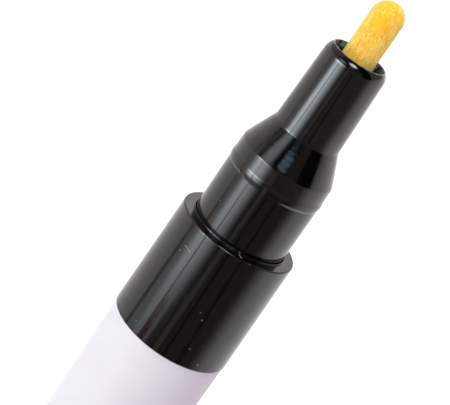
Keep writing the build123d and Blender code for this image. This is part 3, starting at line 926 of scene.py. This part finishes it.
window = {
    "low": 1.2, "mid": 4.0, "midRise": (-25.5, -18), "glow": 4.2, "glowRise": (-18, -12),
    "core": 9.0, "coreRise": (0, 7), "top": (12, 17), "left": (-73, -55), "leftShift": 2.5, "leftLean": 5,
    "right": (-50, -14), "rightShift": 1.5, "upper": 2.4, "upperRise": (20, 36), "upperSoft": 5,
    "upperRight": (-40, -24), "upperWave": 0.2, "underLow": (-27, -25.5), "underTop": (-23.2, -22.2),
    "redTurn": (-40.5, 8), "redCut": 0.98, "ruby": 0.22, "gap": 0.9, "gapTurn": (-24, 5),
    "bar": 0.8, "barTurn": (-45.5, 1.8), "barRise": (10, 16),
}
front = {
    "level": 0.19, "foldRise": -15, "nearLean": 1.2, "near": (0, 3), "farLean": 2.1, "far": (20.7, 3),
    "fold": 0.85, "shade": 0.85, "shadeTurn": (-30, 12), "shadeSoft": 8, "shadeRise": (18, 24),
    "lift": 0.55, "spot": 0.35, "spotTurn": (-18, 9),
}
lampOval = {"level": 13.0, "turn": -3, "rise": 51, "wide": 26, "tall": 14, "edge": (0.35, 1)}
coolOval = {"level": 1.95, "turn": -4, "rise": 28.5, "wide": 16, "tall": 2, "edge": (0.55, 0.95)}


def clearOfCards(turn, rise):  # 0 on two black cards at the right
    block = turn.ease(*darkCards["blockLeft"]) * turn.fade(*darkCards["blockRight"])
    block = block * rise.ease(*darkCards["blockLow"]) * rise.fade(*darkCards["blockTop"])
    hood = turn.ease(*darkCards["hoodLeft"]) * turn.fade(*darkCards["hoodRight"])
    return (1 - block) * (1 - hood * rise.ease(*darkCards["hoodLow"]))


def wallLight(turn, rise, high):  # white walls at both sides and behind
    left = turn.fade(*walls["leftEdge"]) * (walls["left"] + high * (walls["leftTop"] - walls["left"]))
    toRight = turn + rise.fade(*walls["spreadRise"]) * walls["spread"]
    right = toRight.ease(*walls["rightEdge"]) * (walls["right"] + high * (walls["rightTop"] - walls["right"]))
    wall = left + right + turn.bump(*walls["streakTurn"]) * rise.fade(*walls["streakRise"]) * walls["streak"]
    seam = walls["seam"] - rise.ease(*walls["seamRise"]) * walls["seamLess"]
    wall = wall * (1 - turn.bump(*walls["seamTurn"]) * seam)
    wall = wall * (1 - turn.ease(*walls["rearTurn"]) * rise.fade(*walls["rearRise"]) * walls["rearDrop"])
    wall = wall * (walls["floor"] - rise.ease(*walls["floorRise"]) * (walls["floor"] - 1))
    behind = turn.math("ABSOLUTE", turn).ease(*walls["backTurn"])
    wall = wall * (1 + behind * between(rise, walls["backRise"], walls["backSoft"]) * walls["back"])
    return wall * (1 - (1 - behind) * between(rise, walls["slitRise"], walls["slitSoft"]) * walls["slit"])


def windowLight(turn, rise, high, above, wave, sway):  # a window at the left, with a red strip below it
    left = turn - high * window["leftLean"] - above * window["leftShift"]
    right = turn + above * window["rightShift"]
    pane = window["low"]
    for part in ("mid", "glow", "core"):
        pane = pane + rise.ease(*window[part + "Rise"]) * window[part]
    pane = pane * rise.fade(*window["top"]) * right.fade(*window["right"])
    upper = between(rise, window["upperRise"], window["upperSoft"]) * window["upper"]
    pane = pane + upper * sway.fade(*window["upperRight"]) * (1 + wave * window["upperWave"])
    pane = pane * left.ease(*window["left"])
    under = rise.ease(*window["underLow"]) * rise.fade(*window["underTop"])
    red = under * turn.bump(*window["redTurn"])
    bar = turn.bump(*window["barTurn"]) * rise.fade(*window["barRise"]) * window["bar"]
    pane = pane * (1 - bar) * (1 - red * window["redCut"])
    pane = pane * (1 - under * turn.bump(*window["gapTurn"]) * window["gap"])
    return pane + red * window["ruby"], red


def cardLight(turn, rise, high, above):  # a dim, folded card in front
    fold = rise - front["foldRise"]
    near, far = turn + fold * front["nearLean"], turn + fold * front["farLean"]
    card = front["level"] * (1 - near.bump(*front["near"]) * front["fold"])
    card = card * (1 - far.bump(*front["far"]) * front["fold"])
    shaded = between(turn, front["shadeTurn"], front["shadeSoft"])
    card = card * (1 - shaded * rise.ease(*front["shadeRise"]) * front["shade"])
    lift = front["lift"] + turn.bump(*front["spotTurn"]) * front["spot"]
    return card * (1 + above * (1 - high) * lift)


def ovalLight(turn, rise, oval):
    aside = (turn - oval["turn"]) / oval["wide"]
    over = (rise - oval["rise"]) / oval["tall"]
    return turn.math("SQRT", aside * aside + over * over).fade(*oval["edge"]) * oval["level"]


def makeTent():
    work = bmesh.new()
    bmesh.ops.create_uvsphere(
        work, u_segments=tent["spokes"], v_segments=tent["rings"], radius=tent["radius"],
    )
    mesh = bpy.data.meshes.new("tent")
    work.to_mesh(mesh)
    work.free()
    material, shader, place = newFinish("tent", {})
    material.cycles.emission_sampling = "NONE"
    tree = material.node_tree
    tree.nodes.remove(shader)
    x, y, z = axes(place)
    degrees = 180 / math.pi
    turn = x.math("ARCTAN2", x, 0 - y) * degrees
    rise = z.math("ARCTAN2", z, x.math("SQRT", x * x + y * y)) * degrees
    high, above = rise.ease(*tent["high"]), rise.ease(*tent["above"])
    wave = rise.math("SINE", rise * tent["waveRate"])  # what the flare mirrors is uneven
    sway = turn + wave * tent["sway"]
    clear = clearOfCards(turn, rise)
    wall = wallLight(turn, rise, high) * clear
    card = cardLight(turn, rise, high, above) * clear
    pane, red = windowLight(turn, rise, high, above, wave, sway)
    cool = ovalLight(sway, rise, coolOval)
    level = card + wall + pane + ovalLight(turn, rise, lampOval) + cool
    shade = (card / level).tint(tent["white"], tent["warm"])
    shade = (pane / level).tint(shade, tent["sky"])
    shade = (cool / level).tint(shade, tent["cool"])
    shade = (red * tent["redShare"]).tint(shade, tent["red"])
    lit = vectorMath("SCALE", shade, level)
    emission = lit.node("ShaderNodeEmission", {}, {"Color": lit, "Strength": 1.0})
    tree.links.new(emission.socket, tree.nodes["Material Output"].inputs["Surface"])
    mesh.materials.append(material)
    shell = newThing("tent", mesh)
    shell.location = (0, 0, tent["centre"])
    hideFrom(shell, "camera", "diffuse", "shadow", "transmission", "volume_scatter")


flag = {
    "aside": 0.06, "near": -0.2, "far": 0.12, "high": 0.1, "shine": 0.0,
    "shades": ((0.52, 0.37, 0.50, 1), (0.58, 0.42, 0.55, 1)),
    "mottleScale": 40.0, "mottleDepth": 1e-5, "mottleRough": 0.1, "roughness": 0.8,
}


def makeFlag():  # a dull card at the right, which only takes soft light away
    aside, near, far, high = flag["aside"], flag["near"], flag["far"], flag["high"]
    corners = [(aside, far, 0), (aside, near, 0), (aside, near, high), (aside, far, high)]
    card = newCard("flag", corners, flag)
    hideFrom(card, "camera", "glossy", "shadow", "transmission", "volume_scatter")


lights = {  # place, aim, size, power and colour
    "overhead": ((0, 0.5, 1.7), (0, 0.5, 0), 2.2, 46.0, (1, 1, 1)),
    "left": ((-0.465, -0.75, 0.55), (0, 0, 0.09), 0.6, 4.9, (1, 1, 0.99)),
    "fill": ((0.035, -0.035, 0.15), (0, 0, 0.134), 0.02, 0.0026, (1, 0.9, 0.8)),
}
worldLight = {"colour": (1, 0.88, 0.97, 1), "strength": 0.2}


def makeLights():
    for name, (place, aim, size, power, colour) in lights.items():
        lamp = bpy.data.lights.new(name, "AREA")
        lamp.size, lamp.energy, lamp.color = size, power, colour
        thing = newThing(name, lamp)
        thing.location = place
        away = Vector(aim) - Vector(place)
        thing.rotation_euler = away.to_track_quat("-Z", "Y").to_euler()
        hideFrom(thing, "camera", "glossy")
    world = bpy.data.worlds.new("studio")
    world.use_nodes = True
    sky = world.node_tree.nodes["Background"]
    sky.inputs["Color"].default_value = worldLight["colour"]
    sky.inputs["Strength"].default_value = worldLight["strength"]
    bpy.context.scene.world = world
    bpy.context.scene.view_settings.view_transform = "Standard"


camera = {
    "focalPixels": 1791.0, "frameWidth": 450, "sensor": 36.0, "lift": 19.98, "lean": 34.26,
    "distance": 210.0, "aside": 3.35, "aimHeight": 107.43, "nearest": 10.0,
}


def makeCamera():
    lens = bpy.data.cameras.new("camera")
    lens.sensor_width = camera["sensor"]
    lens.lens = camera["focalPixels"] / camera["frameWidth"] * camera["sensor"]
    lens.clip_start = camera["nearest"] * mm
    lift, lean = math.radians(camera["lift"]), math.radians(camera["lean"])
    back = Vector((0, -math.cos(lift), math.sin(lift)))
    level, upward = Vector((1, 0, 0)), Vector((0, math.sin(lift), math.cos(lift)))
    right = level * math.cos(lean) + upward * math.sin(lean)
    up = upward * math.cos(lean) - level * math.sin(lean)
    eye = Vector((-camera["aside"], 0, camera["aimHeight"])) * mm + back * camera["distance"] * mm
    thing = newThing("camera", lens)
    thing.matrix_world = Matrix.Translation(eye) @ Matrix((right, up, back)).transposed().to_4x4()
    bpy.context.scene.camera = thing


makeFloor()
makeTent()
makeFlag()
makeLights()
makeCamera()
print("stage set")
